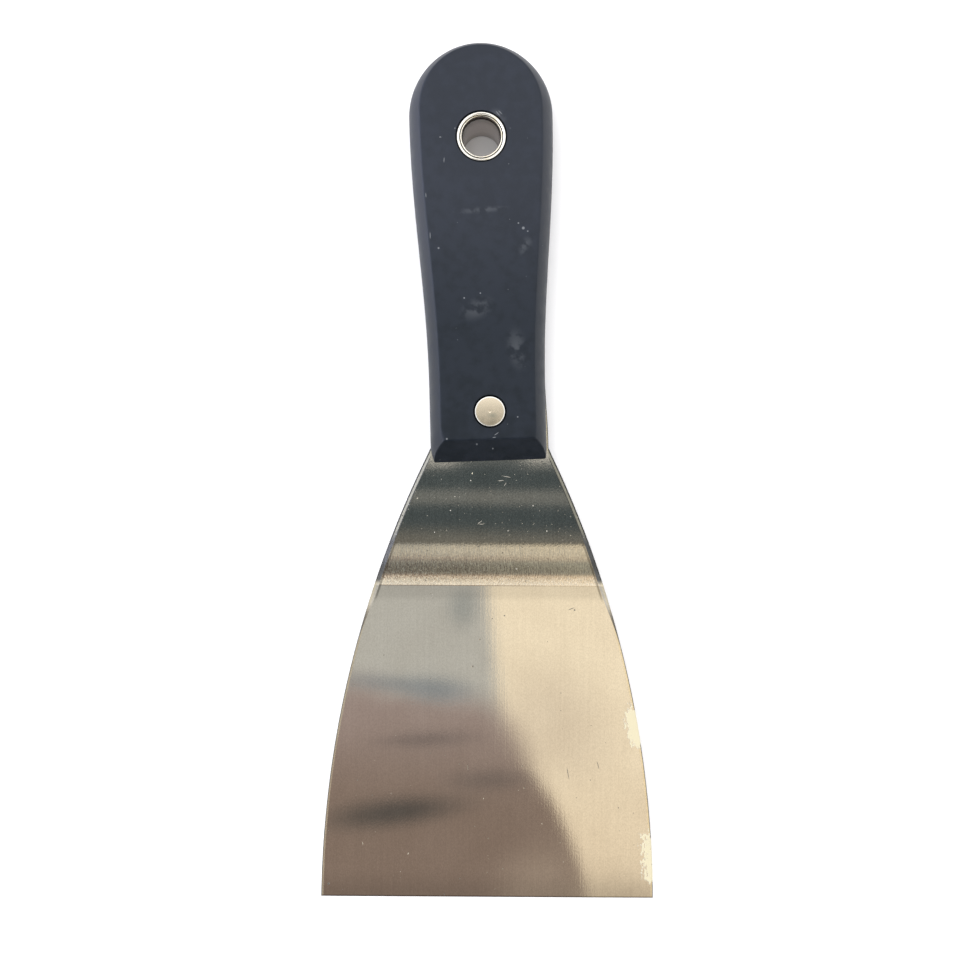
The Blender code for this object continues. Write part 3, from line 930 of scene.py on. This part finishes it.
def plastic_material(name, marked):
    """Matte blue-black plastic: mottled, a little lighter and bluer towards the butt, nicked and
    specked.
    """
    made, tree, shader, place = new_material(name)
    shader.inputs["Specular IOR Level"].default_value = 0.225
    axes = node(tree, "SeparateXYZ", {0: place}).outputs
    mottled = noise(tree, place, (420, 420, 420), 5.0)
    broad = noise(tree, place, (35, 35, 35), 2.0)
    grain = noise(tree, place, (3200, 3200, 3200), 2.0)
    marks = [maths(tree, "MULTIPLY", specks(tree, place, 260, 0.10, 0.03, (2, 9, 0)), 0.25)]
    if marked:
        flat = scaled(tree, place, (1, 1, 0))
        marks.append(maths(tree, "MULTIPLY", dots(tree, flat, HANDLE_SPECKS), 0.3))
        marks.append(maths(tree, "MULTIPLY", scratches(tree, flat, HANDLE_SCRATCHES), 0.35))
        marks.append(maths(tree, "MULTIPLY", smudges(tree, flat, mottled), 0.07))
    both = maths(tree, "MULTIPLY_ADD", broad, 0.4, maths(tree, "MULTIPLY", mottled, 0.6))
    colour = mix(tree, remap(tree, both, 0.38, 0.62), (0.0050, 0.0084, 0.0130), (0.0090, 0.0130, 0.0198))
    # Lighter and bluer towards the butt.
    lighter_towards_butt = remap(tree, axes["Y"], from_edge(0.125), from_edge(0.165), 0.0, 0.04)
    colour = mix(tree, lighter_towards_butt, colour, (0.28, 0.29, 0.38))
    colour = mix(tree, most(tree, marks), colour, (0.42, 0.44, 0.46))
    roughness = maths(tree, "MULTIPLY_ADD", mottled, 0.25, 0.34)
    drive(tree, shader, colour, roughness, height=grain, depth=PLASTIC_RELIEF)
    return made


def smudges(tree, flat, mottled):
    """Faint patches rubbed into the handle's flat face."""
    masks = []
    for x, distance, half_length, half_width, turn in HANDLE_SMUDGES:
        radii = (half_length, half_width)
        masks.append(spot(tree, flat, (x, from_edge(distance)), radii, math.radians(turn), 0.0))
    return maths(tree, "MULTIPLY", most(tree, masks), remap(tree, mottled, 0.40, 0.60))


def brass_material(name, colour, tarnish, roughness, add_marks_and_painted_light=None):
    """Pale brass with cloudy tarnish and fine wear. Its last argument works in a piece's own marks,
    painted shade and painted highlight.
    """
    made, tree, shader, place = new_material(name)
    shader.inputs["Metallic"].default_value = 1.0
    cloudy = noise(tree, place, (520, 520, 520), 4.0)
    worn = noise(tree, place, (1600, 1600, 1600), 2.0, (5, 1, 2))
    shade = mix(tree, remap(tree, cloudy, 0.5, 0.72), colour, tarnish)
    if add_marks_and_painted_light:
        shade = add_marks_and_painted_light(tree, place, shade)
    rough = maths(tree, "MULTIPLY_ADD", worn, 0.10, roughness - 0.05)
    drive(tree, shader, shade, rough, height=worn, depth=BRASS_RELIEF)
    return made


def tube_painted_shade(tree, place, shade):
    """Painted shade on the tube: a black ring at its throat and foot, and a dull grey wall inside that
    darkens towards both ends.
    """
    height = node(tree, "SeparateXYZ", {0: place}).outputs["Z"]
    depth = maths(tree, "ABSOLUTE", maths(tree, "SUBTRACT", height, MID_Z))
    shade = mix(tree, falling(tree, depth, 0.0071, 0.0076), shade, (0.05, 0.04, 0.03))
    wall = mix(tree, remap(tree, depth, 0.0020, 0.0056), (0.48, 0.43, 0.41), (0.34, 0.30, 0.28))
    return mix(tree, falling(tree, depth, 0.0061, 0.0065), shade, wall)


def rivet_smudge_and_highlight(tree, place, shade):
    """The rivet's head has a painted highlight around its rim and a greenish smudge below its centre."""
    flat = scaled(tree, place, (1, 1, 0))
    centre = (RIVET_PLACE.x, RIVET_PLACE.y, 0)
    away = node(tree, "VectorMath", {0: flat, 1: centre}, operation="DISTANCE").outputs["Value"]
    below = (RIVET_PLACE.x + 0.0006, RIVET_PLACE.y - 0.0009)
    smudge = spot(tree, flat, below, (0.0017, 0.0009), core=0.0)
    shade = mix(tree, maths(tree, "MULTIPLY", smudge, 0.6), shade, (0.40, 0.41, 0.33))
    # Painted highlight around the rim.
    rim = remap(tree, away, RIVET_HEAD_RADIUS - 2 * RIVET_RIM, RIVET_HEAD_RADIUS - RIVET_RIM)
    return mix(tree, rim, shade, (1.0, 0.98, 0.92))


def floor_material():
    made, tree, shader, place = new_material("pale_floor")
    shade = noise(tree, place, (3, 3, 3), 2.0)
    colour = mix(tree, shade, (0.92, 0.92, 0.93), (0.94, 0.94, 0.945))
    shader.inputs["Roughness"].default_value = 0.8
    shader.inputs["Specular IOR Level"].default_value = 0.2
    drive(tree, shader, colour)
    return made


# Stage

def make_floor():
    """A round pale floor under the tool, wide enough to reach the horizon of a low view."""
    bm = bmesh.new()
    bmesh.ops.create_circle(bm, cap_ends=True, radius=FLOOR_RADIUS, segments=64)
    mesh = bpy.data.meshes.new("floor")
    bm.to_mesh(mesh)
    bm.free()
    mesh.materials.append(floor_material())
    floor = bpy.data.objects.new("floor", mesh)
    floor.location.z = FLOOR_Z - FLOOR_DROP
    bpy.context.scene.collection.objects.link(floor)


def make_world():
    """A soft studio: a pale dome, with the cards over the tool that its steel mirrors."""
    world = bpy.data.worlds.new("studio")
    bpy.context.scene.world = world
    world.use_nodes = True
    tree = world.node_tree
    direction = node(tree, "TexCoord").outputs["Generated"]
    axes = node(tree, "SeparateXYZ", {0: direction}).outputs
    colour = mix(tree, remap(tree, axes["Z"], 0.88, 0.93), dome(tree, axes), cards(tree, axes))
    behind = mix(tree, remap(tree, axes["Z"], -0.1, 0.3), (0.90, 0.91, 0.93), (0.97, 0.97, 0.98))
    seen = node(tree, "LightPath").outputs["Is Camera Ray"]
    background = tree.nodes["Background"]
    tree.links.new(mix(tree, seen, colour, behind), background.inputs["Color"])


def dome(tree, axes):
    """Bright overhead, dimmer low down, a window to the left and someone standing at the front."""
    side = mix(tree, remap(tree, axes["X"], -0.7, 0.7), (0.90, 0.92, 1.04), (0.74, 0.75, 0.79))
    low = mix(tree, remap(tree, axes["Y"], 0.4, 0.9), side, (0.26, 0.27, 0.31))
    colour = mix(tree, remap(tree, axes["Z"], 0.20, 0.70), low, (1.62, 1.62, 1.64))
    height = band(tree, axes["Z"], -0.05, 0.05, 0.17, 0.30)
    window = maths(tree, "MULTIPLY", falling(tree, axes["X"], -0.88, -0.70), height)
    colour = mix(tree, window, colour, (7.2, 7.5, 9.6))
    height = falling(tree, axes["Z"], 0.1, 0.6)
    front = maths(tree, "MULTIPLY", falling(tree, axes["Y"], -0.8, -0.1), height)
    colour = mix(tree, front, colour, (0.16, 0.165, 0.19))
    width = band(tree, axes["X"], -0.5, -0.3, 0.2, 0.4)
    person = maths(tree, "MULTIPLY", falling(tree, axes["Y"], -0.55, -0.35), width)
    return mix(tree, maths(tree, "MULTIPLY", person, 0.8), colour, (0.15, 0.14, 0.13))


def cards(tree, axes):
    """What hangs over the tool, as seen from it: across and along are tangents from straight up."""
    up = maths(tree, "MAXIMUM", axes["Z"], 0.05)
    across = maths(tree, "DIVIDE", axes["X"], up)
    along = maths(tree, "DIVIDE", axes["Y"], up)
    ceiling = node(tree, "CombineXYZ", {0: across, 1: along}).outputs[0]
    cream = mix(tree, remap(tree, along, -0.34, -0.14), (1.06, 0.90, 0.69), (1.20, 1.06, 0.84))
    leaning = maths(tree, "MULTIPLY_ADD", along, 0.11, across)
    colour = mix(tree, remap(tree, leaning, -0.018, -0.004), (0.64, 0.64, 0.62), cream)
    brown = mix(tree, remap(tree, along, -0.27, -0.165), (0.315, 0.24, 0.205), (0.45, 0.365, 0.35))
    brown_card = most(tree, [
        spot(tree, ceiling, (-0.072, -0.420), (0.170, 0.261), core=0.93),
        spot(tree, ceiling, (-0.030, -0.235), (0.080, 0.080), core=0.62),
        spot(tree, ceiling, (-0.110, -0.235), (0.080, 0.095), core=0.62),
    ])
    past_it = maths(tree, "MULTIPLY", brown_card, remap(tree, along, -0.365, -0.340))
    colour = mix(tree, past_it, colour, brown)
    for centre, radii, turn, tint, strength in CARD_SHADES:
        mask = spot(tree, ceiling, centre, radii, math.radians(turn), 0.1)
        colour = mix(tree, maths(tree, "MULTIPLY", mask, strength), colour, tint)
    above = mix(tree, remap(tree, along, 0.06, 0.22), (0.70, 0.69, 0.66), (1.62, 1.62, 1.62))
    colour = mix(tree, remap(tree, along, 0.0, 0.02), colour, above)
    colour = mix(tree, spot(tree, ceiling, (0, 0.018), (0.040, 0.024)), colour, (0.16, 0.175, 0.18))
    wide = band(tree, across, -0.16, -0.13, 0.13, 0.16)
    dark_card = maths(tree, "MULTIPLY", wide, band(tree, along, -0.083, -0.050, 0.016, 0.026))
    seam = maths(tree, "ABSOLUTE", maths(tree, "ADD", along, 0.0066))
    dark = mix(tree, falling(tree, seam, 0.003, 0.0085), (0.078, 0.099, 0.109), (0.228, 0.238, 0.233))
    dark = mix(tree, falling(tree, along, -0.042, -0.027), dark, (0.21, 0.205, 0.185))
    return mix(tree, dark_card, colour, dark)


def make_key_light():
    """A large soft light overhead, which the steel doesn't mirror."""
    light = bpy.data.lights.new("key", "AREA")
    light.shape = "DISK"
    light.size = KEY_SIZE
    light.energy = KEY_ENERGY
    lamp = bpy.data.objects.new("key", light)
    lamp.location = KEY_PLACE
    lamp.rotation_euler = (-KEY_PLACE).to_track_quat("-Z", "Y").to_euler()
    lamp.visible_glossy = False
    lamp.visible_camera = False
    bpy.context.scene.collection.objects.link(lamp)


def make_camera():
    data = bpy.data.cameras.new("camera")
    data.lens = CAMERA_LENS
    data.sensor_width = CAMERA_SENSOR
    data.clip_start = CAMERA_NEAREST
    camera = bpy.data.objects.new("camera", data)
    camera.location = CAMERA_PLACE
    camera.rotation_euler = (0, 0, CAMERA_TURN)
    bpy.context.scene.collection.objects.link(camera)
    bpy.context.scene.camera = camera


bpy.context.scene.view_settings.view_transform = "Standard"
make_camera()
make_floor()
make_world()
make_key_light()
make_blade(steel_material())
make_scale("handle_front", "handle_scale_front", 1, plastic_material("handle_plastic_front", True))
make_scale("handle_back", "handle_scale_back", -1, plastic_material("handle_plastic_back", False))
eyelet_brass = brass_material("eyelet_brass", (0.97, 0.94, 0.86), (0.92, 0.85, 0.66), 0.18)
tube_brass = brass_material("eyelet_tube_brass", (1.0, 0.98, 0.93), (0.97, 0.94, 0.87), 0.22, tube_painted_shade)
rivet_brass = brass_material("rivet_brass", (0.79, 0.69, 0.53), (0.70, 0.62, 0.475), 0.18, rivet_smudge_and_highlight)
make_turned("eyelet_collar", "eyelet_front", eyelet_front_profile(), EYELET_PLACE, eyelet_brass)
make_turned("eyelet_tube", "eyelet_back", eyelet_back_profile(), EYELET_PLACE, tube_brass)
make_turned("rivet_barrel", "rivet_front", rivet_front_profile(), RIVET_PLACE, rivet_brass)
make_turned("rivet_pin", "rivet_back", rivet_back_profile(), RIVET_PLACE, rivet_brass)
